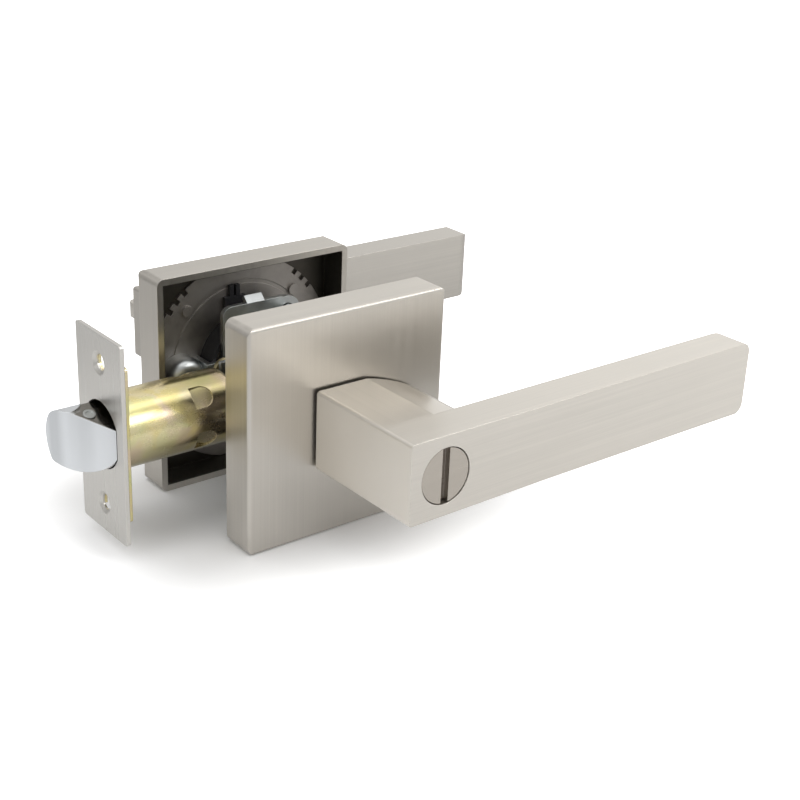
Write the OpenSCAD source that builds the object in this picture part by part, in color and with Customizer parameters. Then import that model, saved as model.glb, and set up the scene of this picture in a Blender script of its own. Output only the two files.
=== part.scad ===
// Tubular privacy lever lockset with square roses.
//
// The origin is on the spindle axis, midway through the door.
// +X points along the levers to their tips, so the latch faceplate is at -X.
// The outside trim is at -Y, the inside trim at +Y, and +Z is up.
// Trim pieces are drawn for the outside; "u" is their distance from the middle of the door.

/* [Door] */
// Thickness of the door between the two roses
door_t = 35; // [34:1:45]
// Diameter of the hole bored through the door for the trim
cross_bore_d = 54; // [52:0.5:60]

/* [Rose] */
// Side of the square rose
rose_w = 65; // [63:0.5:75]
// Height of the rose off the door face
rose_h = 11; // [10.5:0.5:14]
// Wall of the rose shell
rose_wall = 2; // [1.6:0.1:2.4]
// Rounding of the rose's four corners
rose_corner_r = 2.2; // [1:0.1:3]
// Rounding of the rose's front edges
rose_edge_r = 1; // [0.4:0.1:1.4]

/* [Lever] */
// Spindle axis to the lever's tip
lever_reach = 118; // [95:1:140]
// Spindle axis to the flat heel of the lever
lever_heel = 11.6; // [11.5:0.1:14]
// Height of the neck and arm
lever_h = 23; // [21:0.5:26]
// Rose face to the back of the arm
arm_back = 29.6; // [26:0.2:40]
// Thickness of the arm at the heel
arm_t = 11.9; // [11:0.1:15]
// How much thinner the arm is at its tip
arm_taper = 1; // [0:0.1:2]
// Corner rounding at the tip
tip_r = 3.4; // [1:0.1:6]
// Rounding of the tip's back edge
tip_back_r = 5; // [2:0.5:7]
// Rounding of the long heel edges
heel_edge_r = 1; // [0.4:0.1:2]
// Depth of the long facet along the front edges, towards the rose
facet_u = 1.4; // [0.8:0.1:4]
// Height of the long facet along the front edges
facet_z = 0.45; // [0.3:0.05:2]
// Gap between the neck and the rose face
neck_gap = 1; // [0.8:0.1:2]
// Spindle axis to the end of the neck's flat top
neck_flat = 5; // [3:0.5:8]
// Slope at which the neck's flank leaves its flat top, in degrees
flank_slope = 12; // [9:1:14]
// Radius of the neck's flank
flank_r = 60; // [56:1:70]
// Radius of the nose between the flanks
nose_r = 7; // [5:0.5:8]

/* [Shank and spindle] */
// Radius of the round shank behind the neck
shank_r = 8; // [7.6:0.1:8.6]
// Distance across the flats on the shank's end
shank_flats = 13.6; // [13:0.2:15]
// Side of the square spindle
spindle_w = 8; // [7:0.5:8]
// Length of the square spindle
spindle_l = 86; // [80:1:96]
// Radius of the hole along the spindle
spindle_bore_r = 2.3; // [2.2:0.1:2.6]
// Play between the spindle and its square holes
spindle_play = 0.1; // [0.05:0.05:0.3]
// Running clearance on a radius
running = 0.06; // [0.03:0.01:0.1]
// Free clearance between pieces that move past each other
free_gap = 0.3; // [0.3:0.05:0.4]

/* [Privacy turn] */
// Radius of the hole for the turn piece in the lever's face
turn_bore_r = 8; // [7:0.1:9]
// Depth of that hole
turn_bore_depth = 4.4; // [3.6:0.1:6]
// Width of the coin slot
slot_w = 2.4; // [1.6:0.1:3]
// Depth of the coin slot
slot_depth = 1.8; // [1:0.1:2.4]
// Radius of the stem behind each turn piece
stem_r = 3; // [2.8:0.1:3.4]
// Radius of the rod that joins the two turn pieces
rod_r = 1.9; // [1.6:0.1:1.9]
// Length of that rod
rod_l = 118; // [108:1:122]
// Height of the thumb wing over the lever's face
wing_h = 13; // [10:0.5:16]
// Thickness of the thumb wing
wing_t = 5; // [4:0.5:6]

/* [Spring cassette] */
// Outer radius of the cassette
cassette_r = 14.6; // [14.2:0.1:14.8]
// Wall of the cassette
cassette_wall = 1.2; // [1:0.1:1.4]
// Radius of the spring driver
driver_r = 10.2; // [9.8:0.1:10.4]
// Radius of the return spring's wire
return_wire_r = 0.55; // [0.4:0.05:0.6]
// Number of turns in the return spring
return_turns = 2; // [1.5:0.25:2]

/* [Fixings] */
// Thickness of the stamped liner in the rose
liner_t = 0.8; // [0.6:0.1:1]
// Radius of the liner before its flats
liner_r = 31.2; // [30.6:0.1:33]
// Thickness of the mounting plate
plate_t = 1.6; // [1.2:0.1:1.8]
// Width of the mounting plate's upright strap
plate_w = 22.5; // [20:0.5:24]
// Distance between the two fixing screws
screw_spacing = 38; // [38:0.5:39]
// Outer radius of the threaded posts
post_r = 3.2; // [2.8:0.1:3.3]
// Radius of the fixing screws
screw_r = 2; // [1.8:0.1:2.2]
// Distance between the mounting plate's two domes
dome_spacing = 43; // [42:0.5:45]

/* [Latch] */
// Faceplate's front to the spindle axis
backset = 60; // [60:1:70]
// Height of the faceplate
faceplate_h = 57; // [54:0.5:60]
// Width of the faceplate
faceplate_w = 24; // [22:0.5:26]
// Thickness of the faceplate, and of the plate behind it
faceplate_t = 1.2; // [1:0.1:1.6]
// Distance between the faceplate's screw holes
face_screw_spacing = 40.5; // [38:0.5:44]
// Radius of the faceplate's screw holes
face_screw_r = 2.2; // [2:0.1:2.6]
// Radius of the barrel
barrel_r = 10.5; // [10.5:0.1:11.2]
// Wall of the barrel
barrel_wall = 1; // [0.8:0.1:1]
// Spindle axis to the rear end of the barrel
barrel_end = 22; // [21.8:0.1:24]
// Travel of the bolt
bolt_throw = 11; // [10:0.1:11]
// How far the bolt stands out at rest
bolt_out = 11.4; // [11:0.1:12.5]
// Height of the bolt's flat top over its axis
bolt_top = 7.5; // [6.5:0.1:8]
// Distance from the bolt's axis to its flat near side
bolt_side = 8.2; // [7.5:0.1:8.6]
// Radius of the bolt spring's wire
bolt_wire_r = 0.5; // [0.35:0.05:0.5]
// Number of turns in the bolt spring
bolt_turns = 5; // [4:1:5]
// Half thickness of the latch case over its side plates
case_y = 6.2; // [6.1:0.1:6.5]
// Thickness of each side plate
case_t = 1.2; // [1:0.1:1.3]
// Half height of the side plates round the hub
case_z = 10.6; // [10:0.1:10.6]
// Radius of the hub's journals
journal_r = 6.8; // [6.7:0.1:7]
// Reach of the hub's two arms
hub_arm_r = 11.5; // [11.2:0.1:11.6]
// Angle of each arm from upright at rest, towards the bolt
hub_arm_angle = 30; // [28:1:30]

/* [Hidden] */
$fn = 64;

eps = 0.01;
far = 200;

// Trim levels along u
u_door = door_t / 2;
u_face = u_door + rose_h;
u_ceiling = u_face - rose_wall;
u_liner = u_ceiling - liner_t;
plate_sink = 0.1;
u_plate = u_door + plate_sink;
u_cassette = u_plate + plate_t;
cassette_h = u_liner - u_cassette;
u_neck = u_face + neck_gap;
u_back = u_face + arm_back;
u_front = u_back + arm_t;

// Rose and bushing
rose_in = rose_w - 2 * rose_wall;
bushing_wall = 1.4;
bushing_fit = 0.05;
rose_hole_r = shank_r + running + bushing_wall + bushing_fit;
bushing_lip = 1.5;
bushing_inset = 0.5;
bushing_flange_r = min(rose_hole_r + bushing_lip, lever_heel - bushing_inset);
bushing_flange_t = neck_gap - 0.4;

// Lever
lever_z = lever_h / 2;
facet_start = 22;
facet_run = 40;
flank_c = [neck_flat - flank_r * sin(flank_slope), lever_z - flank_r * cos(flank_slope)];
nose_dx = sqrt(pow(flank_r - nose_r, 2) - pow(flank_c[1], 2));
nose_x = flank_c[0] + nose_dx;
flank_end = flank_c[0] + nose_dx * flank_r / (flank_r - nose_r);
socket_w = spindle_w + spindle_play;
socket_end = spindle_l / 2 + 1;
shank_end = u_plate - 1.9;

// Retaining ring in its groove under the mounting plate
ring_t = 1;
ring_gap = 0.2;
groove_depth = 0.8;
groove_r = shank_flats / 2 - groove_depth + 0.4;
ring_r = 10;
ring_mouth = 9;

// Cassette, driver and return spring
cassette_floor = 0.6;
driver_h = cassette_h - cassette_floor - 2 * free_gap;
driver_notch_w = 3.4;
driver_notch_r = 8.8;
spring_r = (driver_r + cassette_r - cassette_wall) / 2;
return_pitch = 2 * return_wire_r + 0.2;
leg_in_r = 9.3;
leg_out_r = cassette_r - 0.3;
leg_slot_w = 3;
leg_in_angle = 200;
ear_w = 7;
ear_base = 20.5;
ear_reach = 23.8;
ear_x = -2.8;
ear_t = 1.2;
prong_w = 1.3;
fork_w = 0.8;
fork_depth = ear_reach - ear_base;

// Liner details
liner_gap = 0.3;
liner_notch = 1.6;
liner_notch_step = 6.5;
liner_dimple_r = 1.7;
liner_dimple_h = 0.7;
liner_dimple_at = 26;
liner_groove_r = 24;
liner_groove_w = 1.2;
liner_groove_t = 0.3;

// Mounting plate
screw_z = screw_spacing / 2;
screw_angle = 35;
lug_r = 4.4;
strap_z = 20.2;
tab_w = 6;
tab_rise = 1.9;
tab_root = 1.2;
plate_corner_r = 3;
foot_w = 8;
web_gap = 0.3;
web_x = cassette_r + web_gap;
dome_r = 5.9;
dome_h = 5;
dome_edge_r = 3.4;
plate_hole_r = shank_r + 0.5;

// Posts and screws
post_flange_r = 4.1;
post_flange_t = 1.1;
post_tip = 9;
post_fit = 0.05;
post_bore_l = 8.2;
rivet_r = 2.2;
rivet_head_r = 3.1;
rivet_head_t = 0.8;
screw_head_r = 3.7;
screw_head_t = 2.4;
screw_end = 2;
screw_hole_r = screw_r + 0.3;
drive_w = 1.1;
drive_l = 5;
drive_depth = 1.3;

// Lever set screw
grub_r = 2.5;
grub_back = 7.5;
grub_edge = 3.5;
grub_u = max(spindle_l / 2 - grub_back, u_neck + grub_edge);
grub_l = 6.2;
grub_hex_r = 1.45;
grub_hex_depth = 2.5;

// Privacy turn
turn_inset = 0.3;
turn_r = turn_bore_r - free_gap;
rod_flats = 2.6;
rod_fit = 0.05;
wing_w = 2 * turn_r;

// Latch levels along x
x_face = -backset;
x_face_back = x_face + faceplate_t;
x_plate_back = x_face_back + faceplate_t;
barrel_in_r = barrel_r - barrel_wall;
bolt_r = barrel_in_r - free_gap;
bolt_tip = x_face - bolt_out;
bolt_back = x_plate_back + 1.6;
bolt_nose_r = 1.6;
bolt_nose_steps = 6;
bolt_slope_y = 14.3;
bolt_slope_dx = (bolt_tip - x_face) / bolt_slope_y;
bolt_ridge_y = 1.7;
bolt_corner_drop = 0.15;
bolt_corner_z = sqrt(pow(bolt_r, 2) - pow(bolt_side, 2)) - bolt_corner_drop;
bolt_top_slope = (bolt_top - bolt_corner_z) / (bolt_ridge_y + bolt_side);
half_turn = 180;

// Shallow pocket in the bolt's top, behind a rim
pocket_depth = 0.5;
pocket_rim = 0.65;
pocket_side = 5.2;
pocket_end_x = 1.4;
pocket_end_y = 10;
pocket_end_r = 8.5;

backplate_h = 44;
backplate_w = faceplate_w - 1.4;
face_corner_r = 0.9;
countersink_r = 3.3;
sink_share = 0.6;
slot_gap = 0.6;
shoulder_r = 3;

// Crimps that hold the case in the barrel
crimp_r = 3.1;
crimp_l = 6;
crimp_in = 14.5;
crimp_x = -barrel_end - crimp_in;
crimp_first = 45;
crimp_count = 5;
crimp_tilt = 12;
crimp_t = 0.8;
crimp_drop = 0.35;
crimp_lap = 0.06;

// Case
case_neck_z = 5;
case_step_x = -barrel_end + free_gap;
case_rear = 13;
case_spacer_t = 1.5;
case_spacer_z = 8;
case_corner_r = 3;
stop_t = 2;
stop_x = crimp_x - stop_t;
stop_r = barrel_in_r - crimp_drop - 0.1;
case_in = case_y - case_t;
case_rivet_r = 1.3;
case_rivet_x = case_rear - case_spacer_t - 2.3;
case_rivet_z = 7;

// Hub
hub_r = 7.4;
hub_y = case_in - free_gap;
journal_y = case_y + 0.8;
hub_arm_w = 3;
hub_arm_y = 2;

// Tail
tail_y0 = hub_arm_y + 0.4;
tail_y1 = tail_y0 + 1.2;
hook_z = 8.9;
hook_top = 11;
hook_l = 2.5;
hook_gap = 0.3;
hook_x = -hook_z * tan(hub_arm_angle) + hub_arm_w / 2 / cos(hub_arm_angle) + hook_gap;
fork_x = -barrel_end + 0.5;
fork_l = 2.5;
block_front = -barrel_end - 2;
block_z = 5;
block_back = stop_x + stop_t + 0.5;
bar_y = 1.8;
bar_z = 4;
bar_cover = 1.1;
bar_tip = x_face + (bolt_side - bar_y) * bolt_slope_dx + bar_cover;
pin_in = 0.8;
pin_x = bar_tip + pin_in;
pin_r = 0.9;
pin_fit = 0.02;
pin_end = 0.8;
pin_head_r = 1.7;
pin_head_t = 0.4;
pin_dimple_r = 1;
pin_dimple_t = 0.2;
pin_floor = bolt_top - pocket_depth - bolt_ridge_y * bolt_top_slope;

// Bolt spring
bolt_spring_gap = 1.4;
bolt_spring_r = bolt_top - bolt_spring_gap;

// ---- helpers ----

// Places a shape drawn in XZ so that it starts at distance u and grows outwards (towards -Y)
module outward(u) {
    translate([0, -u, 0]) rotate([90, 0, 0]) children();
}

module disc(r, u0, u1) {
    outward(u0) cylinder(r = r, h = u1 - u0);
}

// Turns an outside piece into the inside one
module inside() {
    mirror([0, 1, 0]) children();
}

// Places a shape drawn in YZ so that it starts at x and grows towards +X
module along_x(x) {
    translate([x, 0, 0]) rotate([0, 90, 0]) rotate([0, 0, 90]) children();
}

module rounded_rect(w, h, r) {
    square([w - 2 * r, h], center = true);
    square([w, h - 2 * r], center = true);
    for (sx = [-1, 1], sz = [-1, 1]) {
        translate([sx * (w / 2 - r), sz * (h / 2 - r)]) circle(r);
    }
}

// Block [w, depth, h] along a rounded front: outline with its two far corners rounded
module front_rounded(w, d, r) {
    translate([-w / 2, 0]) square([w, d - r]);
    translate([-w / 2 + r, 0]) square([w - 2 * r, d]);
    for (s = [-1, 1]) {
        translate([s * (w / 2 - r), d - r]) circle(r);
    }
}

// Round wire swept along a list of points; "up" is never parallel to the wire
function unit(v) = v / norm(v);
function tangent(p, i) = unit(p[min(i + 1, len(p) - 1)] - p[max(i - 1, 0)]);
function ring(p, i, r, n, up) =
    let (t = tangent(p, i), a = unit(cross(t, up)), b = cross(t, a))
    [for (k = [0:n - 1]) p[i] + r * cos(360 * k / n) * a + r * sin(360 * k / n) * b];

module wire(p, r, n, up) {
    m = len(p);
    points = [for (i = [0:m - 1]) each ring(p, i, r, n, up)];
    sides = [
        for (i = [0:m - 2], k = [0:n - 1])
        [i * n + k, i * n + (k + 1) % n, (i + 1) * n + (k + 1) % n, (i + 1) * n + k]
    ];
    ends = [[for (k = [n - 1:-1:0]) k], [for (k = [0:n - 1]) (m - 1) * n + k]];
    polyhedron(points, concat(sides, ends), convexity = 8);
}

// ---- rose, liner, cassette, spring and plate ----

module rose() {
    side = rose_w;
    difference() {
        intersection() {
            outward(u_door) linear_extrude(rose_h) rounded_rect(side, side, rose_corner_r);
            translate([0, 0, -side]) linear_extrude(2 * side) mirror([0, 1])
                translate([0, u_door]) front_rounded(side, rose_h, rose_edge_r);
            rotate([0, 90, 0]) translate([0, 0, -side]) linear_extrude(2 * side) mirror([0, 1])
                translate([0, u_door]) front_rounded(side, rose_h, rose_edge_r);
        }
        outward(u_door - eps) linear_extrude(u_ceiling - u_door + eps)
            rounded_rect(rose_in, rose_in, rose_edge_r);
        disc(rose_hole_r, u_door, u_face + 1);
    }
}

module rose_liner() {
    side = rose_in - 2 * liner_gap;
    difference() {
        union() {
            outward(u_liner) linear_extrude(liner_t) difference() {
                intersection() {
                    circle(liner_r);
                    square(side, center = true);
                }
                circle(rose_hole_r + liner_gap);
                for (corner = [45:90:315], k = [-1:1]) {
                    rotate(corner + k * liner_notch_step) translate([liner_r - liner_notch, -liner_notch / 2])
                        square([2 * liner_notch, liner_notch]);
                }
                for (s = [-1, 1]) {
                    translate([ear_x, s * (ear_reach - fork_depth / 2)])
                        square([fork_w, fork_depth], center = true);
                }
            }
            // Corner dimples, raised towards the door
            for (corner = [45:90:315]) {
                rotate([0, corner, 0]) translate([liner_dimple_at, 0, 0])
                    disc(liner_dimple_r, u_liner - liner_dimple_h, u_liner + eps);
            }
        }
        // Stamped ring groove
        outward(u_liner - eps) linear_extrude(liner_groove_t + eps) difference() {
            circle(liner_groove_r + liner_groove_w / 2);
            circle(liner_groove_r - liner_groove_w / 2);
        }
    }
}

module cassette() {
    difference() {
        union() {
            disc(cassette_r, u_cassette, u_liner);
            for (s = [-1, 1]) {
                translate([ear_x - ear_w / 2, -u_liner, s > 0 ? 0 : -ear_base])
                    cube([ear_w, ear_t, ear_base]);
                translate([ear_x - fork_w / 2 - prong_w, -u_liner, s > 0 ? 0 : -ear_reach])
                    cube([fork_w + 2 * prong_w, ear_t, ear_reach]);
            }
        }
        disc(cassette_r - cassette_wall, u_cassette - 1, u_liner - cassette_floor);
        disc(rose_hole_r - 1, u_cassette, u_liner + 1);
        for (s = [-1, 1]) {
            translate([ear_x - fork_w / 2, -u_liner - 1, s > 0 ? ear_reach - fork_depth : -ear_reach - 1])
                cube([fork_w, ear_t + 2, fork_depth + 1]);
        }
        rotate([0, -leg_in_angle - 360 * return_turns, 0])
            translate([cassette_r - 2 * cassette_wall, -u_liner + cassette_floor, -leg_slot_w / 2])
                cube([far, cassette_h, leg_slot_w]);
    }
}

// Axial middle of the return spring's first turn
spring_u = u_cassette + return_wire_r + free_gap;
spring_steps = 28;

function spring_point(t, r) =
    let (a = leg_in_angle + 360 * t)
    [r * cos(a), -spring_u - return_pitch * t, r * sin(a)];

module return_spring() {
    turns = return_turns;
    coil = [for (i = [0:spring_steps * turns]) spring_point(i / spring_steps, spring_r)];
    path = concat([spring_point(0, leg_in_r)], coil, [spring_point(turns, leg_out_r)]);
    wire(path, return_wire_r, 8, [0, 1, 0]);
}

module shank_section(grow) {
    intersection() {
        circle(shank_r + grow);
        square([shank_flats + 2 * grow, far], center = true);
    }
}

module spring_driver() {
    outward(u_cassette + free_gap) linear_extrude(driver_h) difference() {
        circle(driver_r);
        shank_section(0.02);
        rotate(leg_in_angle) translate([driver_notch_r, -driver_notch_w / 2])
            square([driver_r, driver_notch_w]);
    }
}

// Places children at the two fixing screws, in the plane of the plates
module at_lugs() {
    for (s = [-1, 1]) {
        rotate(-screw_angle) translate([0, s * screw_z]) children();
    }
}

// Tab at the strap's end, leaning back from the door
module plate_tab() {
    k = plate_t / sqrt(2);
    top = strap_z + tab_rise;
    translate([-tab_w / 2, 0, 0]) along_x(0) linear_extrude(tab_w) mirror([1, 0]) polygon([
        [u_plate, strap_z - tab_root], [u_plate, strap_z], [u_plate + tab_rise, top],
        [u_plate + tab_rise + k, top - k], [u_plate + plate_t, strap_z - 2 * k + plate_t],
        [u_plate + plate_t, strap_z - tab_root]
    ]);
}

module mounting_plate() {
    outward(u_plate) linear_extrude(plate_t) difference() {
        union() {
            rounded_rect(plate_w, 2 * strap_z, plate_corner_r);
            square([2 * (web_x + plate_t), foot_w], center = true);
            at_lugs() circle(lug_r);
        }
        circle(plate_hole_r);
        at_lugs() circle(screw_hole_r);
    }
    plate_tab();
    mirror([0, 0, 1]) plate_tab();
    // Webs and feet that stand on the liner, each foot with a dome
    for (s = [-1, 1]) {
        translate([s > 0 ? web_x : -web_x - plate_t, -u_liner, -foot_w / 2])
            cube([plate_t, u_liner - u_plate - eps, foot_w]);
        outward(u_liner - plate_t) linear_extrude(plate_t) {
            translate([s * dome_spacing / 2, 0]) circle(dome_r);
            translate([s > 0 ? web_x + eps : -dome_spacing / 2, -foot_w / 2])
                square([dome_spacing / 2 - web_x - eps, foot_w]);
        }
        translate([s * dome_spacing / 2, plate_t - u_liner - eps, 0]) rotate([-90, 0, 0]) rotate_extrude() {
            square([dome_r - dome_edge_r, dome_h]);
            square([dome_r, dome_h - dome_edge_r]);
            intersection() {
                translate([dome_r - dome_edge_r, dome_h - dome_edge_r]) circle(dome_edge_r);
                square([dome_r, dome_h]);
            }
        }
    }
}

module bushing() {
    difference() {
        union() {
            disc(rose_hole_r - bushing_fit, u_liner, u_face + eps);
            disc(bushing_flange_r, u_face, u_face + bushing_flange_t);
        }
        disc(shank_r + running, u_liner - 1, u_face + 2);
    }
}

module retaining_ring() {
    outward(u_plate - ring_gap - ring_t) linear_extrude(ring_t) difference() {
        circle(ring_r);
        circle(groove_r);
        translate([0, -ring_r]) square([ring_mouth, 2 * ring_r], center = true);
    }
}

module post() {
    difference() {
        union() {
            translate([0, -u_plate, 0]) rotate([-90, 0, 0]) cylinder(r = post_r, h = u_plate + post_tip);
            disc(post_flange_r, u_plate - post_flange_t, u_plate);
            disc(rivet_r, u_plate - eps, u_cassette + eps);
            disc(rivet_head_r, u_cassette, u_cassette + rivet_head_t);
        }
        translate([0, post_tip - post_bore_l, 0]) rotate([-90, 0, 0])
            cylinder(r = screw_r + post_fit, h = post_bore_l + 1);
    }
}

module fixing_screw() {
    inside() difference() {
        union() {
            disc(screw_r, screw_end, u_cassette + eps);
            disc(screw_head_r, u_cassette, u_cassette + screw_head_t);
        }
        for (a = [0, 90]) {
            outward(u_cassette + screw_head_t - drive_depth) rotate(a)
                translate([-drive_l / 2, -drive_w / 2]) cube([drive_l, drive_w, drive_depth + 1]);
        }
    }
}

module at_screws() {
    for (s = [-1, 1]) {
        rotate([0, screw_angle, 0]) translate([0, 0, s * screw_z]) rotate([0, -screw_angle, 0]) children();
    }
}

// ---- lever ----

// Neck seen along the spindle: flat heel, flat top and bottom, flanks closing on a round nose
module neck_section() {
    back = neck_flat + lever_heel;
    translate([-lever_heel + back / 2, 0]) {
        square([back - 2 * heel_edge_r, lever_h], center = true);
        translate([heel_edge_r / 2, 0]) square([back - heel_edge_r, lever_h], center = true);
    }
    translate([-lever_heel, -lever_z + heel_edge_r]) square([back, lever_h - 2 * heel_edge_r]);
    for (s = [-1, 1]) {
        translate([heel_edge_r - lever_heel, s * (lever_z - heel_edge_r)]) circle(heel_edge_r);
    }
    intersection() {
        translate(flank_c) circle(flank_r, $fn = 200);
        mirror([0, 1]) translate(flank_c) circle(flank_r, $fn = 200);
        translate([neck_flat - 1, -lever_z]) square([flank_end - neck_flat + 1, lever_h]);
    }
    translate([nose_x, 0]) circle(nose_r);
}

// Everything above the long facet of the front top edge; it fades out towards the heel
module above_facet() {
    start = u_front - facet_u;
    a = facet_z / (facet_run + lever_heel);
    b = a * facet_start / facet_u;
    intersection() {
        translate([-far, -start, lever_z]) rotate([atan(facet_z / facet_u), 0, 0]) translate([0, -far / 2, 0])
            cube([2 * far, far, far / 4]);
        translate([-lever_heel, -u_front, lever_z]) rotate([asin(b / norm([a, b, 1])), atan(a), 0])
            translate([-far / 2, -far / 2, 0]) cube([2 * far, far, far / 4]);
    }
}

module arm() {
    length = lever_reach + lever_heel;
    intersection() {
        translate([0, 0, -lever_z]) linear_extrude(lever_h) polygon([
            [-lever_heel, -u_back], [lever_reach, -u_back],
            [lever_reach, arm_taper - u_front], [-lever_heel, -u_front]
        ]);
        // Rounds the tip's back edge
        translate([-lever_heel, -u_back, -lever_h]) linear_extrude(2 * lever_h) mirror([0, 1]) {
            square([length - tip_back_r, 2 * arm_t]);
            translate([0, tip_back_r]) square([length, 2 * arm_t]);
            translate([length - tip_back_r, tip_back_r]) circle(tip_back_r);
        }
        outward(u_back - 1) linear_extrude(arm_t + 2) translate([-lever_heel, 0]) {
            translate([heel_edge_r, -lever_z]) square([length - heel_edge_r - tip_r, lever_h]);
            translate([0, heel_edge_r - lever_z]) square([length / 2, lever_h - 2 * heel_edge_r]);
            translate([length / 2, tip_r - lever_z]) square([length / 2, lever_h - 2 * tip_r]);
            for (s = [-1, 1]) {
                translate([heel_edge_r, s * (lever_z - heel_edge_r)]) circle(heel_edge_r);
                translate([length - tip_r, s * (lever_z - tip_r)]) circle(tip_r);
            }
        }
    }
}

module lever() {
    difference() {
        union() {
            difference() {
                union() {
                    outward(u_neck) linear_extrude(u_back - u_neck + 1) neck_section();
                    arm();
                }
                above_facet();
                mirror([0, 0, 1]) above_facet();
            }
            disc(shank_r, u_liner, u_neck + eps);
            outward(shank_end) linear_extrude(u_liner - shank_end + eps) shank_section(0);
        }
        outward(shank_end - 1) translate([-socket_w / 2, -socket_w / 2])
            cube([socket_w, socket_w, socket_end - shank_end + 1]);
        disc(stem_r + running, socket_end - 1, u_front);
        disc(turn_bore_r, u_front - turn_bore_depth, u_front + 1);
        // Groove for the retaining ring
        outward(u_plate - ring_gap - ring_t) linear_extrude(ring_t) difference() {
            circle(ring_r);
            circle(groove_r - 0.05);
        }
    }
}

module grub_hole() {
    translate([0, -grub_u, -lever_z - 1]) cylinder(r = grub_r + post_fit, h = lever_z + 1 - spindle_w / 4);
}

module inside_lever_solid() {
    inside() difference() {
        lever();
        grub_hole();
    }
}

// ---- privacy turn ----

module rod_section(grow) {
    intersection() {
        circle(rod_r + grow);
        square([far, rod_flats + 2 * grow], center = true);
    }
}

// Round head in the lever's face with a stem that takes the rod's flattened end
module turn_head() {
    difference() {
        union() {
            disc(turn_r, u_front - turn_bore_depth + free_gap, u_front - turn_inset);
            disc(stem_r, socket_end, u_front - turn_bore_depth + 1);
        }
        outward(socket_end - 1) linear_extrude(rod_l / 2 - socket_end + 2) rod_section(rod_fit);
    }
}

module thumb_wing() {
    base = u_front - turn_inset;
    top = u_front + wing_h;
    corner = 4.5;
    intersection() {
        translate([0, 0, -wing_t / 2]) linear_extrude(wing_t) mirror([0, 1]) translate([0, base - 1]) {
            translate([-wing_w / 2, 0]) square([wing_w, top - base + 1 - corner]);
            translate([-wing_w / 2 + corner, 0]) square([wing_w - 2 * corner, top - base + 1]);
            for (s = [-1, 1]) {
                translate([s * (wing_w / 2 - corner), top - base + 1 - corner]) circle(corner);
            }
        }
        disc(turn_r, base - 1, top + 1);
        rotate([0, 90, 0]) translate([0, 0, -far / 2]) linear_extrude(far) mirror([0, 1])
            translate([0, base - 1]) front_rounded(wing_t, top - base + 1, 1.2);
    }
}

// ---- latch ----

module latch_hole(r) {
    intersection() {
        circle(r);
        translate([-bolt_side - 0.4, -far / 2]) square([far, far]);
    }
}

module face_outline() {
    rounded_rect(faceplate_w, faceplate_h, face_corner_r);
}

// Half-moon of a crimp, with its straight edge towards the faceplate
module crimp_shape(grow) {
    r = crimp_r + grow;
    translate([0, -r]) square([crimp_l - crimp_r, 2 * r]);
    translate([crimp_l - crimp_r, 0]) circle(r);
}

module at_crimps() {
    for (k = [0:crimp_count - 1]) {
        rotate([-crimp_first - 360 * k / crimp_count, 0, 0]) translate([crimp_x, 0, 0]) rotate([90, 0, 0])
            children();
    }
}

module barrel_outline(r, end, round) {
    length = end - x_plate_back;
    square([length - round, r]);
    square([length, r - round]);
    intersection() {
        translate([length - round, r - round]) circle(round);
        square([length, r]);
    }
}

module latch_barrel_solid() {
    difference() {
        translate([x_plate_back, 0, 0]) rotate([0, 90, 0]) rotate_extrude() rotate(90) mirror([0, 1])
            barrel_outline(barrel_r, -barrel_end, shoulder_r);
        translate([x_plate_back - eps, 0, 0]) rotate([0, 90, 0]) rotate_extrude() rotate(90) mirror([0, 1])
            barrel_outline(barrel_in_r, -barrel_end - barrel_wall, shoulder_r - barrel_wall);
        translate([-barrel_end - 3 * barrel_wall, -case_y - free_gap, -case_neck_z - free_gap])
            cube([far, 2 * (case_y + free_gap), 2 * (case_neck_z + free_gap)]);
        at_crimps() translate([0, 0, barrel_r / 2]) linear_extrude(barrel_r) crimp_shape(0);
    }
    // Tongue of each crimp, bent inwards at its straight edge
    intersection() {
        at_crimps() translate([crimp_l, 0, barrel_r - crimp_drop]) rotate([0, -crimp_tilt, 0])
            translate([-crimp_l, 0, -crimp_t]) linear_extrude(crimp_t) crimp_shape(crimp_lap);
        along_x(stop_x) cylinder(r = barrel_r - 0.02, h = far / 2);
    }
}

module case_plate() {
    difference() {
        union() {
            translate([stop_x + eps, -case_neck_z]) square([case_step_x - stop_x, 2 * case_neck_z]);
            translate([(case_step_x + case_rear) / 2, 0])
                rounded_rect(case_rear - case_step_x, 2 * case_z, case_corner_r);
        }
        circle(journal_r + running);
        for (s = [-1, 1]) {
            translate([case_rivet_x, s * case_rivet_z]) circle(case_rivet_r);
        }
    }
}

module bolt_plan() {
    slope = [bolt_tip - x_face, bolt_slope_y];
    normal = [-slope[1], slope[0]] / norm(slope);
    cx = bolt_tip + bolt_nose_r;
    cy = -(bolt_nose_r + (cx - x_face) * normal[0]) / normal[1] - bolt_side;
    from = half_turn + atan(normal[1] / normal[0]);
    nose = [for (k = [0:bolt_nose_steps]) let (a = from + (half_turn - from) * k / bolt_nose_steps)
        [cx + bolt_nose_r * cos(a), cy + bolt_nose_r * sin(a)]];
    polygon(concat(
        [[bolt_back, -bolt_side], [x_face, -bolt_side]], nose,
        [[bolt_tip, 2 * bolt_r], [bolt_back, 2 * bolt_r]]
    ));
}

// Everything under the bolt's top, which slopes down towards its near side
module below_top(drop) {
    along_x(-far) linear_extrude(2 * far) polygon([
        [bolt_ridge_y - far, -far], [bolt_ridge_y - far, bolt_top - drop - far * bolt_top_slope],
        [bolt_ridge_y, bolt_top - drop], [far, bolt_top - drop], [far, -far]
    ]);
}

// The slanted face, seen from above, set back by the pocket's rim
function rim_x(y) = x_face + (y + bolt_side) * bolt_slope_dx + pocket_rim * norm([1, bolt_slope_dx]);

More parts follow.
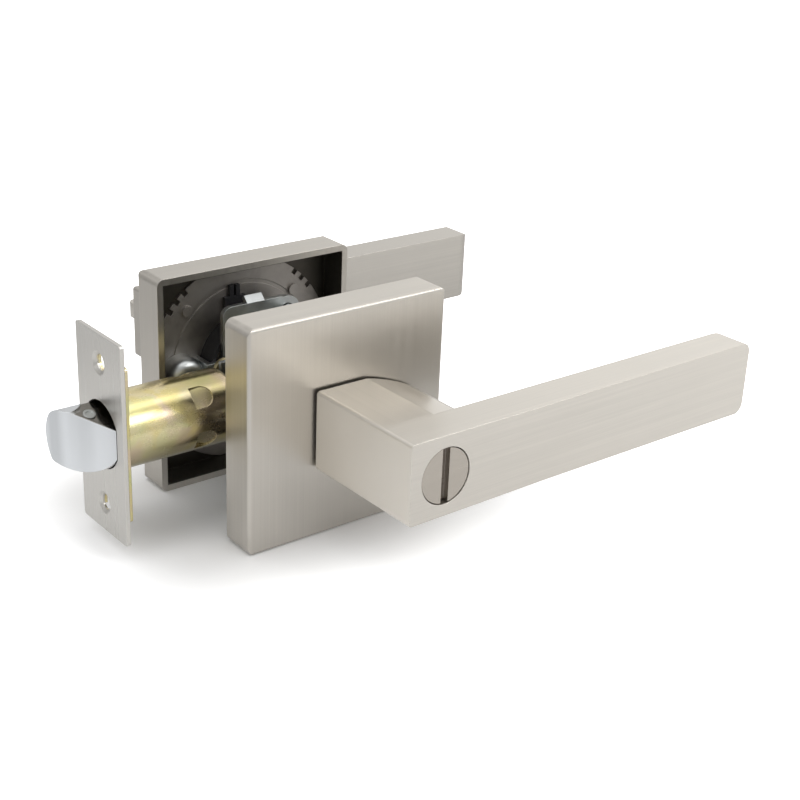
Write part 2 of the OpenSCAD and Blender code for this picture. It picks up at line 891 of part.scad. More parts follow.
module pocket_plan() {
    difference() {
        polygon([
            [bolt_back + 1, -pocket_side], [rim_x(-pocket_side), -pocket_side],
            [rim_x(bolt_r), bolt_r], [bolt_back + 1, bolt_r]
        ]);
        translate([bolt_tip + pocket_end_x, pocket_end_y]) circle(pocket_end_r);
    }
}

// Bar that joins bolt and hub, its end cut parallel to the slanted face
module tail_bar(grow) {
    y = bar_y + grow;
    translate([0, 0, -bar_z - grow]) linear_extrude(2 * (bar_z + grow)) polygon([
        [block_back, -y], [bar_tip - grow, -y], [bar_tip - grow + 2 * y * bolt_slope_dx, y], [block_back, y]
    ]);
}

module bolt_solid() {
    difference() {
        intersection() {
            along_x(bolt_tip - 1) cylinder(r = bolt_r, h = bolt_back - bolt_tip + 1);
            translate([0, 0, -2 * bolt_r]) linear_extrude(4 * bolt_r) bolt_plan();
            below_top(0);
        }
        difference() {
            linear_extrude(2 * bolt_r) pocket_plan();
            below_top(pocket_depth);
        }
        tail_bar(pin_fit);
        translate([pin_x, 0, -far / 2]) cylinder(r = pin_r + pin_fit, h = far);
    }
}

module bolt_pin_solid() {
    intersection() {
        translate([pin_x, 0, pin_end - bolt_r]) cylinder(r = pin_r, h = 2 * bolt_r);
        below_top(pocket_depth - pin_dimple_t / 2);
    }
    translate([pin_x, 0, pin_floor]) rotate([atan(bolt_top_slope), 0, 0]) difference() {
        cylinder(r = pin_head_r, h = pin_head_t);
        translate([0, 0, pin_head_t - pin_dimple_t]) cylinder(r = pin_dimple_r, h = 1);
    }
}

module bolt_tail_solid() {
    difference() {
        union() {
            tail_bar(0);
            translate([block_back, -tail_y1, -block_z])
                cube([block_front - block_back, 2 * tail_y1, 2 * block_z]);
            for (s = [-1, 1]) {
                translate([0, s > 0 ? tail_y0 : -tail_y1, 0]) {
                    translate([block_front - 1, 0, -block_z])
                        cube([fork_x + fork_l - block_front + 1, tail_y1 - tail_y0, 2 * block_z]);
                    translate([fork_x, 0, -hook_top]) cube([fork_l, tail_y1 - tail_y0, 2 * hook_top]);
                    for (z = [hook_z, -hook_top]) {
                        translate([fork_x, 0, z])
                            cube([hook_x + hook_l - fork_x, tail_y1 - tail_y0, hook_top - hook_z]);
                    }
                }
                translate([hook_x, -tail_y1, s > 0 ? hook_z : -hook_top])
                    cube([hook_l, 2 * tail_y1, hook_top - hook_z]);
            }
        }
        translate([pin_x, 0, -far / 2]) cylinder(r = pin_r + pin_fit, h = far);
    }
}

module bolt_spring_solid() {
    steps = 18;
    r = bolt_spring_r;
    start = bolt_back + bolt_wire_r;
    length = stop_x - bolt_wire_r - start;
    n = steps * bolt_turns;
    wire(
        [for (i = [0:n]) [start + length * i / n, r * cos(360 * i / steps), r * sin(360 * i / steps)]],
        bolt_wire_r, 6, [1, 0, 0]
    );
}

module hub_solid() {
    difference() {
        union() {
            disc(hub_r, -hub_y, hub_y);
            disc(journal_r, -journal_y, journal_y);
            for (s = [-1, 1]) {
                rotate([0, s > 0 ? -hub_arm_angle : 180 + hub_arm_angle, 0])
                    translate([-hub_arm_w / 2, -hub_arm_y, 0]) cube([hub_arm_w, 2 * hub_arm_y, hub_arm_r]);
            }
        }
        translate([-socket_w / 2, -journal_y - 1, -socket_w / 2])
            cube([socket_w, 2 * journal_y + 2, socket_w]);
    }
}

// ---- nodes ----

nickel = "#c6c0b6";
polished = "#b9afa3";
zinc = "#c3c6c8";
yellow_zinc = "#cdb878";
dark = "#2b2b2b";
steel = "#8d8b88";

module outside_rose() { color(nickel) rose(); }
module outside_rose_liner() { color("#7a736b") rose_liner(); }
module outside_cassette() { color(dark) cassette(); }
module outside_return_spring() { color(steel) return_spring(); }
module outside_spring_driver() { color(zinc) spring_driver(); }
module outside_mounting_plate() { color(zinc) mounting_plate(); }
module outside_bushing() { color(dark) bushing(); }
module outside_retaining_ring() { color(steel) retaining_ring(); }
module outside_lever() { color(nickel) lever(); }
module screw_posts() { color(zinc) at_screws() post(); }

module coin_release() {
    color(polished) difference() {
        turn_head();
        translate([-slot_w / 2, -u_front - 1, -far / 2]) cube([slot_w, 1 + turn_inset + slot_depth, far]);
    }
}

module inside_rose() { color(nickel) inside() rose(); }
module inside_rose_liner() { color("#7a736b") inside() rose_liner(); }
module inside_cassette() { color(dark) inside() cassette(); }
module inside_return_spring() { color(steel) inside() return_spring(); }
module inside_spring_driver() { color(zinc) inside() spring_driver(); }
module inside_mounting_plate() { color(zinc) inside() mounting_plate(); }
module inside_bushing() { color(dark) inside() bushing(); }
module inside_retaining_ring() { color(steel) inside() retaining_ring(); }
module inside_lever() { color(nickel) inside_lever_solid(); }

module lever_set_screw() {
    color(dark) inside() difference() {
        translate([0, -grub_u, -socket_w / 2 - grub_l]) cylinder(r = grub_r, h = grub_l);
        translate([0, -grub_u, -socket_w / 2 - grub_l - 1])
            cylinder(r = grub_hex_r, h = grub_hex_depth + 1, $fn = 6);
    }
}

module mounting_screws() { color(zinc) at_screws() fixing_screw(); }

module thumb_turn() {
    color(nickel) inside() union() {
        turn_head();
        thumb_wing();
    }
}

module spindle() {
    color(steel) difference() {
        translate([-spindle_w / 2, -spindle_l / 2, -spindle_w / 2]) cube([spindle_w, spindle_l, spindle_w]);
        disc(spindle_bore_r, -spindle_l, spindle_l);
    }
}

module turn_rod() {
    color(steel) difference() {
        disc(rod_r, -rod_l / 2, rod_l / 2);
        for (sy = [-1, 1], sz = [-1, 1]) {
            translate([0, sy * rod_l / 2, sz * (rod_flats + far) / 2])
                cube([far, rod_l - 2 * socket_end, far], center = true);
        }
    }
}

module latch_faceplate() {
    color("#b9b8b2") difference() {
        along_x(x_face) linear_extrude(faceplate_t) difference() {
            face_outline();
            latch_hole(barrel_in_r);
        }
        for (s = [-1, 1]) {
            translate([0, 0, s * face_screw_spacing / 2]) {
                along_x(x_face - 1) cylinder(r = face_screw_r, h = faceplate_t + 2);
                along_x(x_face - eps)
                    cylinder(r1 = countersink_r, r2 = face_screw_r, h = faceplate_t * sink_share);
            }
        }
    }
}

module latch_backplate() {
    color(yellow_zinc) along_x(x_face_back) linear_extrude(faceplate_t) difference() {
        rounded_rect(backplate_w, backplate_h, face_corner_r);
        circle(barrel_in_r);
        for (s = [-1, 1]) {
            translate([0, s * face_screw_spacing / 2]) {
                circle(face_screw_r + slot_gap);
                translate([0, s * face_screw_r])
                    square([2 * (face_screw_r + slot_gap), 2 * face_screw_r], center = true);
            }
        }
    }
}

module latch_barrel() { color(yellow_zinc) latch_barrel_solid(); }

module latch_case() {
    color("#b98a5a") {
        for (s = [-1, 1]) {
            translate([0, s > 0 ? case_y : -case_in, 0]) rotate([90, 0, 0])
                linear_extrude(case_t) case_plate();
        }
        along_x(stop_x) linear_extrude(stop_t) difference() {
            circle(stop_r);
            square([2 * bar_y + 1, 2 * bar_z + 1], center = true);
        }
        translate([case_rear - case_spacer_t, -case_y + eps, -case_spacer_z])
            cube([case_spacer_t, 2 * (case_y - eps), 2 * case_spacer_z]);
    }
}

module case_rivets() {
    color(steel) for (s = [-1, 1]) {
        translate([case_rivet_x, 0, s * case_rivet_z]) disc(case_rivet_r, -case_y - 0.5, case_y + 0.5);
    }
}

module latch_hub() { color(zinc) hub_solid(); }
module latch_bolt() { color("#c9ced4") bolt_solid(); }

module bolt_pin() { color(steel) bolt_pin_solid(); }

module bolt_tail() { color(zinc) bolt_tail_solid(); }
module bolt_spring() { color(steel) bolt_spring_solid(); }

outside_rose();
outside_rose_liner();
outside_cassette();
outside_return_spring();
outside_spring_driver();
outside_mounting_plate();
outside_bushing();
outside_retaining_ring();
outside_lever();
screw_posts();
coin_release();
inside_rose();
inside_rose_liner();
inside_cassette();
inside_return_spring();
inside_spring_driver();
inside_mounting_plate();
inside_bushing();
inside_retaining_ring();
inside_lever();
lever_set_screw();
mounting_screws();
thumb_turn();
spindle();
turn_rod();
latch_faceplate();
latch_backplate();
latch_barrel();
latch_case();
case_rivets();
latch_hub();
latch_bolt();
bolt_pin();
bolt_tail();
bolt_spring();
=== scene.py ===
import bpy
from mathutils import Matrix, Vector


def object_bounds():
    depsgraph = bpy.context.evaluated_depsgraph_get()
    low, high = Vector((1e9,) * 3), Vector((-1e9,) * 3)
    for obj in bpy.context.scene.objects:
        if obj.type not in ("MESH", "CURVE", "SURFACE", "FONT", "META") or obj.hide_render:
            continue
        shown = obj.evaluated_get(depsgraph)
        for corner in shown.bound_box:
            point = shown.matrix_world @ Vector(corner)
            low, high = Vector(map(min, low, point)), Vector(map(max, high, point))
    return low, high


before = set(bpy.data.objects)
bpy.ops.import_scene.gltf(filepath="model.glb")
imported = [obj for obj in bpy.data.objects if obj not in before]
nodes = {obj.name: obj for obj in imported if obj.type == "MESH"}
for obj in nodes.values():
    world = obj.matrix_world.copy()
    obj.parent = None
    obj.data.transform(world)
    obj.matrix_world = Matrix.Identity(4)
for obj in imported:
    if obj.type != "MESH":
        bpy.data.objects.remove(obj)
cad_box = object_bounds()

# ---------------------------------------------------------------- places on the pieces, in metres


def corners(name, axis):
    """The corners of a node's box along one axis."""
    return [corner["xyz".index(axis)] for corner in nodes[name].bound_box]


def reach(name, axis):
    """How far a node reaches from the origin along one axis."""
    return max(abs(place) for place in corners(name, axis))


# room left so that a surface surely falls on one side of a limit
skin = 0.0001
rose_wall = 0.0020
# inside of a rose's shell, painted dark as shade: half its width, and the height of its ceiling over the
# door's middle
rose_inside = (reach("outside_rose", "x") - rose_wall + skin,
               reach("outside_rose", "y") - rose_wall + 3 * skin)
# a lever's neck ends at this x, and its arm starts this far behind its face
neck_end = 0.018
arm_depth = 0.0125
neck = (neck_end, reach("outside_lever", "y") - arm_depth)
# what lies deeper than this in the coin release is the floor of its slot, painted darker as shade
slot_depth = 0.0004
slot_floor = (reach("coin_release", "x") + skin, reach("coin_release", "y") - slot_depth)
# the bolt's flat top is its pocket where it lies lower than this
bolt_pocket = max(corners("latch_bolt", "z")) - 3 * skin
# the barrel's painted dark olive shade and reflection starts this far before its inner end
end_shade_length = 0.022
end_shade_start = max(corners("latch_barrel", "x")) - end_shade_length
barrel_r = reach("latch_barrel", "z")
floor_z = cad_box[0].z - skin

WHITE = (1.0, 1.0, 1.0)
SATIN_NICKEL = (0.655, 0.622, 0.568)

# ---------------------------------------------------------------- node helpers


def shade(color, gain):
    """A colour made lighter or darker, never past white."""
    return tuple(min(1.0, c * gain) for c in color)


class Net:
    """Short calls that build a node tree. What they are given is a value or a socket."""

    def __init__(self, tree):
        self.tree = tree
        tree.nodes.clear()

    def node(self, kind, **settings):
        new = self.tree.nodes.new("ShaderNode" + kind)
        for key, value in settings.items():
            setattr(new, key, value)
        return new

    def feed(self, socket, value):
        if isinstance(value, bpy.types.NodeSocket):
            self.tree.links.new(value, socket)
        elif socket.type == "RGBA":
            socket.default_value = (*value, 1.0)
        else:
            socket.default_value = value

    def fill(self, node, **inputs):
        """Feed a node's inputs by name, with _ for a space."""
        for key, value in inputs.items():
            self.feed(node.inputs[key.replace("_", " ")], value)
        return node

    def math(self, operation, *values):
        node = self.node("Math", operation=operation)
        for socket, value in zip(node.inputs, values):
            self.feed(socket, value)
        return node.outputs[0]

    def plus(self, a, b):
        return self.math("ADD", a, b)

    def times(self, a, b):
        return self.math("MULTIPLY", a, b)

    def vector(self, operation, *values):
        node = self.node("VectorMath", operation=operation)
        for socket, value in zip(node.inputs, values):
            self.feed(socket, value)
        return node.outputs["Value" if operation in ("LENGTH", "DOT_PRODUCT") else "Vector"]

    def split(self, vector):
        node = self.fill(self.node("SeparateXYZ"), Vector=vector)
        return [node.outputs[axis] for axis in "XYZ"]

    def place(self):
        return self.node("TexCoord").outputs["Object"]

    def facing(self):
        return self.node("NewGeometry").outputs["Normal"]

    def scaled(self, vector, scale, turn=(0, 0, 0)):
        return self.fill(self.node("Mapping"), Vector=vector, Scale=scale, Rotation=turn).outputs[0]

    def noise(self, vector, scale, detail, rough, distort=0.0):
        node = self.node("TexNoise")
        return self.fill(node, Vector=vector, Scale=scale, Detail=detail, Roughness=rough,
                         Distortion=distort).outputs["Fac"]

    def span(self, value, low, high, start=0.3, end=0.7, interpolation="LINEAR"):
        """Runs from low to high while the value runs from start to end."""
        node = self.node("MapRange", interpolation_type=interpolation)
        node.inputs["From Min"].default_value = start
        node.inputs["From Max"].default_value = end
        node.inputs["To Min"].default_value = low
        node.inputs["To Max"].default_value = high
        self.feed(node.inputs["Value"], value)
        return node.outputs[0]

    def ramp(self, value, stops):
        node = self.fill(self.node("ValToRGB"), Fac=value)
        elements = node.color_ramp.elements
        while len(elements) < len(stops):
            elements.new(0.5)
        for element, (position, color) in zip(elements, stops):
            element.position = position
            element.color = (*color, 1.0)
        return node.outputs[0]

    def mix(self, factor, a, b, data="RGBA"):
        """Mixes two colours, or with data FLOAT two values, or with VECTOR two directions."""
        node = self.node("Mix", data_type=data)
        kind = "VALUE" if data == "FLOAT" else data
        self.feed(node.inputs["Factor"], factor)
        for name, value in (("A", a), ("B", b)):
            self.feed(next(s for s in node.inputs if s.name == name and s.type == kind), value)
        return next(s for s in node.outputs if s.type == kind)

    def bump(self, height, strength, distance, normal):
        return self.fill(self.node("Bump"), Height=height, Strength=strength, Distance=distance,
                         Normal=normal).outputs[0]

    def edge(self, radius):
        """Softly rounded normal, and a mask that is 1 on the edges it rounds."""
        rounded = self.fill(self.node("Bevel", samples=6), Radius=radius).outputs[0]
        return rounded, self.span(self.vector("DOT_PRODUCT", rounded, self.facing()), 1.0, 0.0, 0.86, 0.99)

    def shader(self, kind, **inputs):
        return self.fill(self.node(kind), **inputs).outputs[0]

    def add_shaders(self, a, b):
        node = self.node("AddShader")
        self.feed(node.inputs[0], a)
        self.feed(node.inputs[1], b)
        return node.outputs[0]

    def mix_shaders(self, factor, a, b):
        node = self.node("MixShader")
        for socket, value in zip(node.inputs, (factor, a, b)):
            self.feed(socket, value)
        return node.outputs[0]


# ---------------------------------------------------------------- kinds of surface


def new_material(name):
    material = bpy.data.materials.new(name)
    material.use_nodes = True
    net = Net(material.node_tree)
    bsdf = net.node("BsdfPrincipled")
    net.fill(net.node("OutputMaterial"), Surface=bsdf.outputs[0])
    return material, net, bsdf


def streaks(net, place, axis, lines):
    """Brush lines along an axis: fine ones over wide, faint ones."""

    def layer(density, stretch, detail, rough):
        scale = [density] * 3
        scale["xyz".index(axis)] = stretch
        return net.noise(net.scaled(place, scale), 1.0, detail, rough)

    fine = layer(lines, 14.0, 3.0, 0.6)
    wide = layer(lines * 0.28, 7.0, 2.0, 0.5)
    return net.plus(net.times(fine, 0.6), net.times(wide, 0.4))


def line_axis(net, axis):
    """The direction of the brush lines, a little off the axis so that it is never square to a face."""
    node = net.node("CombineXYZ")
    for socket, letter in zip(node.inputs, "xyz"):
        socket.default_value = 1.01 if letter == axis else 0.01
    return node.outputs[0]


def brushed(name, color, rough, along, cap, lines=2600, line_bump=0.16, tint=0.06, edge_light=0.35,
            edge_rough=-0.07, neck=None, side_light_gain=None, shaded_inside=None, inside_shade_color=(0.05, 0.045, 0.036),
            painted_shade_ring=None):
    """Brushed plated metal. The brush lines run along one axis, and along "cap" on faces square to it.
    neck=(x, y): a lever's neck, where x and |y| are under these, is brushed along the spindle.
    side_light_gain: the flat heel and the flanks of the neck are lighter by this, a painted highlight.
    inner=(half, y): what lies within this half width and under |y| is painted dark with the inner colour,
    as shade.
    halo=(x, z, near, far, gain): painted shade round a point, darkened by gain at the near radius and back
    to full at the far radius."""
    material, net, bsdf = new_material(name)
    place = net.place()
    x, y, z = net.split(place)
    depth = net.math("ABSOLUTE", y)
    normal_axes = net.split(net.facing())

    line, direction = streaks(net, place, along, lines), line_axis(net, along)
    if neck:
        on_neck = net.times(net.math("LESS_THAN", x, neck[0]), net.math("LESS_THAN", depth, neck[1]))
        line = net.mix(on_neck, line, streaks(net, place, "y", lines), "FLOAT")
        direction = net.mix(on_neck, direction, line_axis(net, "y"), "VECTOR")
    on_cap = net.math("GREATER_THAN", net.math("ABSOLUTE", normal_axes["xyz".index(along)]), 0.7)
    line = net.mix(on_cap, line, streaks(net, place, cap, lines), "FLOAT")
    direction = net.mix(on_cap, direction, line_axis(net, cap), "VECTOR")
    cloud = net.noise(place, 60.0, 3.0, 0.5)

    base = net.ramp(net.span(line, 0, 1, 0.36, 0.64),
                    [(0.0, shade(color, 1 - tint)), (1.0, shade(color, 1 + tint * 0.6))])
    base = net.mix(net.span(cloud, 0.0, 0.35), base, shade(color, 0.965))
    # painted highlight: faces of the neck turned sideways get a lighter copy of the colour
    if side_light_gain:
        sideways = net.span(net.math("ABSOLUTE", normal_axes[0]), 0.0, 0.85, 0.1, 0.4)
        painted_side_light = net.times(net.math("LESS_THAN", x, neck[0]), sideways)
        base = net.mix(painted_side_light, base, shade(color, side_light_gain))
    # painted shade: darker round a point, fading out between the near and the far radius
    if painted_shade_ring:
        at_x, at_z, near, far, gain = painted_shade_ring
        across_x = net.math("POWER", net.math("SUBTRACT", x, at_x), 2.0)
        across_z = net.math("POWER", net.math("SUBTRACT", z, at_z), 2.0)
        ring_shade = net.span(net.math("SQRT", net.plus(across_x, across_z)), 1.0, 0.0, near, far)
        base = net.mix(ring_shade, base, shade(color, gain))
    normal, mask = net.edge(0.00025)
    # painted highlight: the rounded edges get a lighter colour
    base = net.mix(net.times(mask, edge_light), base, shade(color, 1.3))
    roughness = net.span(line, rough - 0.045, rough + 0.055, 0.36, 0.64)
    roughness = net.plus(roughness, net.times(mask, edge_rough))
    if side_light_gain:
        roughness = net.plus(roughness, net.times(on_cap, 0.08))
    # painted shade: inside this box the colour goes dark
    if shaded_inside:
        half = net.math("MAXIMUM", net.math("ABSOLUTE", x), net.math("ABSOLUTE", z))
        in_shade = net.times(net.math("LESS_THAN", half, shaded_inside[0]), net.math("LESS_THAN", depth, shaded_inside[1]))
        base = net.mix(net.times(in_shade, 0.9), base, inside_shade_color)
        roughness = net.plus(roughness, net.times(in_shade, 0.08))
    roughness = net.plus(roughness, net.span(cloud, -0.015, 0.02))

    bsdf.inputs["Metallic"].default_value = 1.0
    bsdf.inputs["Anisotropic"].default_value = 0.55
    # the highlight spreads across the brush lines
    net.fill(bsdf, Base_Color=base, Roughness=roughness, Normal=net.bump(line, line_bump, 0.00003, normal),
             Tangent=net.vector("CROSS_PRODUCT", net.facing(), direction))
    return material


def bolt_color(net, place, color, base, pocket):
    """Soft upright bands, a flat top painted darker as shade, and a pocket below a height painted dark as
    shade.
    """
    z = net.split(place)[2]
    bands = net.noise(net.scaled(place, (150, 150, 14)), 1.0, 1.0, 0.4)
    base = net.mix(net.span(bands, 0.0, 0.8, 0.40, 0.62), base, shade(color, 0.77))
    # painted shade: faces turned upwards are darker
    painted_dark_top = net.math("GREATER_THAN", net.split(net.facing())[2], 0.7)
    base = net.mix(net.times(painted_dark_top, 0.8), base, shade(color, 0.78))
    # painted shade: the pocket below the top is dark
    low = net.times(painted_dark_top, net.math("LESS_THAN", z, pocket))
    return net.mix(net.times(low, 0.85), base, (0.30, 0.28, 0.25))


def tube_color(net, place, color, base, radius, end_shade_x):
    """A tube about the X axis: painted shade in its dents, and a painted dark olive shade and reflection
    underneath and past end_shade_x.
    """
    x, y, z = net.split(place)
    from_axis = net.math("SQRT", net.plus(net.math("POWER", y, 2.0), net.math("POWER", z, 2.0)))
    dent_top = radius - 0.00015
    dent_depth = 0.0012
    # painted shade in the dents, darkest at their bottom
    base = net.mix(net.span(from_axis, 0.9, 0.0, dent_top - dent_depth, dent_top), base, shade(color, 0.22))
    # painted shade and reflection: dark olive underneath, and towards the end past end_shade_x
    shade_underneath = net.span(net.split(net.facing())[2], 0.78, 0.0, -0.80, 0.25)
    shade_at_end = net.span(x, 0.0, 0.42, end_shade_x, end_shade_x + 0.012)
    return net.mix(net.math("MAXIMUM", shade_underneath, shade_at_end), base, (0.25, 0.215, 0.115))


def plated(name, color, rough, tints=(), scratch=0.05, blotch=0.3, metal=1.0, finish=None):
    """Zinc, chromate or plain steel: cloudy colour, fine scratches and edges lightened as painted
    highlights.
    finish: a function that goes over the colour at the end."""
    material, net, bsdf = new_material(name)
    place = net.place()
    cloud = net.noise(place, 110.0, 4.0, 0.55, 0.6)
    base = net.ramp(cloud, [(0.3, shade(color, 1 - blotch * 0.5)), (0.5, color),
                            (0.72, shade(color, 1 + blotch * 0.3))])
    for k, (tint, scale) in enumerate(tints):
        patches = net.noise(net.scaled(place, (1, 1, 1), (k + 0.7, k * 1.3, 0.4)), scale, 2.0, 0.5, 0.8)
        base = net.mix(net.span(patches, 0.0, 0.75, 0.45, 0.65), base, tint)
    fine = net.noise(net.scaled(place, (900, 4200, 900)), 1.0, 3.0, 0.6)
    normal, mask = net.edge(0.0002)
    # painted highlight: the rounded edges get a lighter colour
    base = net.mix(net.times(mask, 0.45), base, shade(color, 1.22))
    if finish:
        base = finish(net, place, color, base)
    bsdf.inputs["Metallic"].default_value = metal
    net.fill(bsdf, Base_Color=base, Normal=net.bump(fine, scratch, 0.00003, normal),
             Roughness=net.plus(net.span(cloud, rough - 0.04, rough + 0.06), net.span(fine, -0.02, 0.03)))
    return material


def moulded(name, color, rough):
    """Moulded plastic: cloudy, with a fine grain and edges lightened as painted highlights."""
    material, net, bsdf = new_material(name)
    place = net.place()
    grain = net.noise(place, 2600.0, 2.0, 0.6)
    cloud = net.noise(place, 90.0, 3.0, 0.5)
    base = net.ramp(cloud, [(0.35, shade(color, 0.8)), (0.65, shade(color, 1.25))])
    normal, mask = net.edge(0.0002)
    # painted highlight: the rounded edges get a lighter colour
    base = net.mix(net.times(mask, 0.3), base, shade(color, 2.0))
    bsdf.inputs["Specular IOR Level"].default_value = 0.4
    net.fill(bsdf, Base_Color=base, Roughness=net.span(cloud, rough - 0.06, rough + 0.08),
             Normal=net.bump(grain, 0.12, 0.00004, normal))
    return material


# ---------------------------------------------------------------- the object's materials

materials = {
    # the rose is painted darker round its spindle as shade
    # the rose's shell is painted dark inside as shade
    "rose": brushed("satin_nickel_rose", shade(SATIN_NICKEL, 0.96), 0.36, "z", "x", shaded_inside=rose_inside,
                    edge_light=0.0, edge_rough=0.12, painted_shade_ring=(0.014, -0.006, 0.008, 0.042, 0.78)),
    # the inside rose is a darker copy of the rose's nickel: painted shade
    "rose_in": brushed("satin_nickel_rose_inside", shade(SATIN_NICKEL, 0.87), 0.36, "z", "x",
                       shaded_inside=rose_inside),
    "lever": brushed("satin_nickel_lever", SATIN_NICKEL, 0.34, "x", "z", neck=neck, side_light_gain=1.36),
    # the inside lever is a darker copy of the lever's nickel: painted shade
    "lever_in_shaded": brushed("shaded_satin_nickel_lever_inside", shade(SATIN_NICKEL, 0.83), 0.34, "x", "z", neck=neck),
    # the floor of the coin slot is painted darker as shade
    "turn": brushed("polished_nickel_turn", (0.48, 0.44, 0.39), 0.22, "x", "z", lines=3200, line_bump=0.08,
                    shaded_inside=slot_floor, inside_shade_color=(0.36, 0.33, 0.30)),
    "thumb": brushed("satin_nickel_thumb", SATIN_NICKEL, 0.30, "y", "x"),
    "face": brushed("satin_nickel_faceplate", (0.69, 0.672, 0.635), 0.30, "z", "y", lines=3600,
                    line_bump=0.08, tint=0.04),
    "liner": plated("stamped_steel_liner", (0.385, 0.36, 0.335), 0.50, blotch=0.4),
    "zinc": plated("bright_zinc", (0.52, 0.54, 0.535), 0.34, blotch=0.5),
    "cast": plated("cast_zinc", (0.55, 0.56, 0.57), 0.40, scratch=0.12),
    "spring": plated("spring_steel", (0.36, 0.35, 0.34), 0.30),
    "black": plated("black_oxide", (0.05, 0.05, 0.05), 0.38, metal=0.6),
    "chromate": plated("yellow_chromate", (0.78, 0.685, 0.44), 0.235, scratch=0.06, blotch=0.15,
                       tints=(((0.62, 0.64, 0.30), 70.0), ((0.72, 0.56, 0.44), 95.0),
                              ((0.78, 0.66, 0.28), 130.0)),
                       finish=lambda *given: tube_color(*given, barrel_r, end_shade_start)),
    "case": plated("yellow_chromate_case", (0.70, 0.60, 0.36), 0.30, tints=(((0.58, 0.60, 0.40), 80.0),)),
    "bolt": plated("satin_chrome_bolt", (0.83, 0.855, 0.88), 0.18, scratch=0.02, blotch=0.05,
                   finish=lambda *given: bolt_color(*given, bolt_pocket)),
    "nylon": moulded("black_nylon", (0.022, 0.022, 0.024), 0.45),
}

# which nodes each material dresses
dressed = {
    "rose": ["outside_rose"],
    "rose_in": ["inside_rose"],
    "lever": ["outside_lever"],
    "lever_in_shaded": ["inside_lever"],
    "turn": ["coin_release"],
    "thumb": ["thumb_turn"],
    "face": ["latch_faceplate"],
    "liner": ["outside_rose_liner", "inside_rose_liner"],
    "zinc": ["outside_mounting_plate", "inside_mounting_plate", "screw_posts", "mounting_screws", "spindle",
             "turn_rod", "case_rivets", "bolt_pin", "bolt_tail"],
    "cast": ["outside_spring_driver", "inside_spring_driver", "latch_hub"],
    "spring": ["outside_return_spring", "inside_return_spring", "bolt_spring", "outside_retaining_ring",
               "inside_retaining_ring"],
    "black": ["lever_set_screw"],
    "chromate": ["latch_backplate", "latch_barrel"],
    "case": ["latch_case"],
    "bolt": ["latch_bolt"],
    "nylon": ["outside_cassette", "inside_cassette", "outside_bushing", "inside_bushing"],
}
material_of = {name: key for key, names in dressed.items() for name in names}
for name, piece in nodes.items():
    material = materials[material_of[name]]
    if not piece.material_slots:
        piece.data.materials.append(material)
    for slot in piece.material_slots:
        slot.material = material

# ---------------------------------------------------------------- floor, room and lamps


def floor_surface(net):
    """White to the camera, with the object's shadow. What the metal sees is a darker table."""
    rays = net.node("LightPath").outputs
    place = net.node("NewGeometry").outputs["Position"]
    x, y, _ = net.split(place)

    # the table glows towards +X, where it lies open in front of the object and to its left
    towards_x = net.span(x, 0.12, 0.50, -0.20, 0.25)
    in_front = net.span(y, 0.30, 1.0, -0.015, -0.042)
    to_left = net.times(net.span(x, 0.30, 1.1, -0.030, -0.048), net.span(y, 1.0, 0.2, 0.09, 0.13))
    glow = net.shader("Emission", Strength=net.times(towards_x, net.math("MAXIMUM", in_front, to_left)))
    table = net.add_shaders(net.shader("BsdfDiffuse", Color=(0.60, 0.60, 0.60)), glow)

    # to the camera the floor stays white outside a rounded box that holds the shadow
    from_middle = net.vector("ABSOLUTE", net.vector("SUBTRACT", place, (-0.004, 0.0, floor_z)))
    outside = net.vector("MAXIMUM", net.vector("SUBTRACT", from_middle, (0.040, 0.022, 0.0)), (0, 0, 0))
    white = net.span(net.vector("LENGTH", outside), 0.0, 1.0, 0.0, 0.062, "SMOOTHSTEP")
    lit = net.shader("Emission", Strength=net.times(rays["Is Camera Ray"], white))
    paper = net.add_shaders(net.shader("BsdfDiffuse", Color=(0.92, 0.92, 0.92)), lit)
    return net.mix_shaders(rays["Is Glossy Ray"], paper, table)


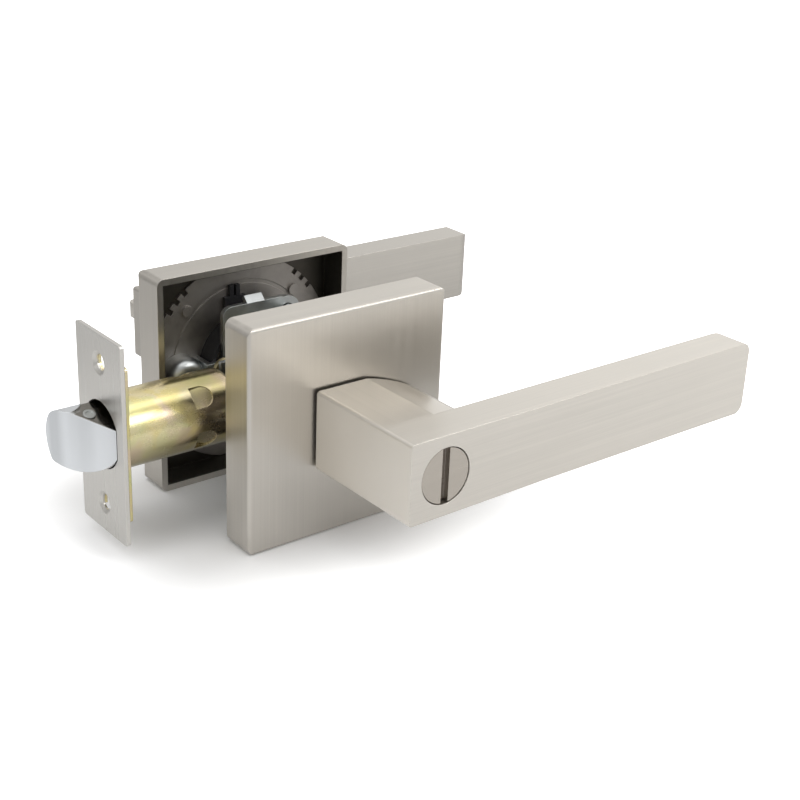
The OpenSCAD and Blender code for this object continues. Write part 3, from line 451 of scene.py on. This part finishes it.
def room_light(net):
    """White to the camera and even on matt surfaces. Gloss sees light above and towards +X."""
    rays = net.node("LightPath").outputs
    x, _, z = net.split(net.node("TexCoord").outputs["Generated"])
    strength = net.times(net.span(z, 0.70, 1.0, -0.1, 0.4), net.span(x, 0.55, 1.30, 0.2, 0.8))
    room = net.shader("Background", Color=(1.0, 0.995, 0.985), Strength=strength)
    soft = net.shader("Background", Color=WHITE, Strength=0.624)
    white = net.shader("Background", Color=WHITE, Strength=1.0)
    mirrored = net.math("MAXIMUM", rays["Is Glossy Ray"], rays["Is Transmission Ray"])
    return net.mix_shaders(rays["Is Camera Ray"], net.mix_shaders(mirrored, soft, room), white)


def lamp(name, at, target, width, height, power):
    light = bpy.data.lights.new(name, "AREA")
    light.energy = power
    light.shape = "RECTANGLE"
    light.size = width
    light.size_y = height
    holder = bpy.data.objects.new(name, light)
    bpy.context.scene.collection.objects.link(holder)
    holder.location = at
    holder.rotation_mode = "QUATERNION"
    holder.rotation_quaternion = (Vector(target) - Vector(at)).to_track_quat("-Z", "Y")


bpy.ops.mesh.primitive_plane_add(size=6, location=(0, 0, floor_z))
floor = bpy.context.object
floor.name = "floor"
floor_material = bpy.data.materials.new("floor_white")
floor_material.use_nodes = True
net = Net(floor_material.node_tree)
net.fill(net.node("OutputMaterial"), Surface=floor_surface(net))
floor.data.materials.append(floor_material)

world = bpy.data.worlds.new("studio")
bpy.context.scene.world = world
world.use_nodes = True
net = Net(world.node_tree)
net.fill(net.node("OutputWorld"), Surface=room_light(net))

lamp("top_softbox", (-0.05, -0.05, 0.85), (0, 0, 0), 0.9, 0.7, 2.4)
lamp("left_softbox", (-0.95, -0.15, 0.45), (0, 0, 0), 0.4, 0.5, 0.85)
lamp("front_right", (0.48, -0.68, 0.68), (0, -0.03, 0), 0.5, 0.36, 2.1)
lamp("back_rim", (-0.36, 0.64, 0.52), (0, 0, 0), 0.30, 0.30, 0.10)

# ---------------------------------------------------------------- camera

camera_data = bpy.data.cameras.new("camera")
camera_data.sensor_width = 36.0
camera_data.lens = 66.8
camera_data.clip_start = 0.02
camera_data.clip_end = 20
camera = bpy.data.objects.new("camera", camera_data)
bpy.context.scene.collection.objects.link(camera)
camera.location = (-0.22327, -0.32381, 0.16658)
look = Vector((0.5803, 0.7111, -0.3970)).normalized()
right = Vector((0.7846, -0.6188, 0.0386))
right = (right - look * right.dot(look)).normalized()
camera.rotation_mode = "QUATERNION"
camera.rotation_quaternion = Matrix((right, right.cross(look), -look)).transposed().to_quaternion()
bpy.context.scene.camera = camera

bpy.context.scene.view_settings.view_transform = "Standard"
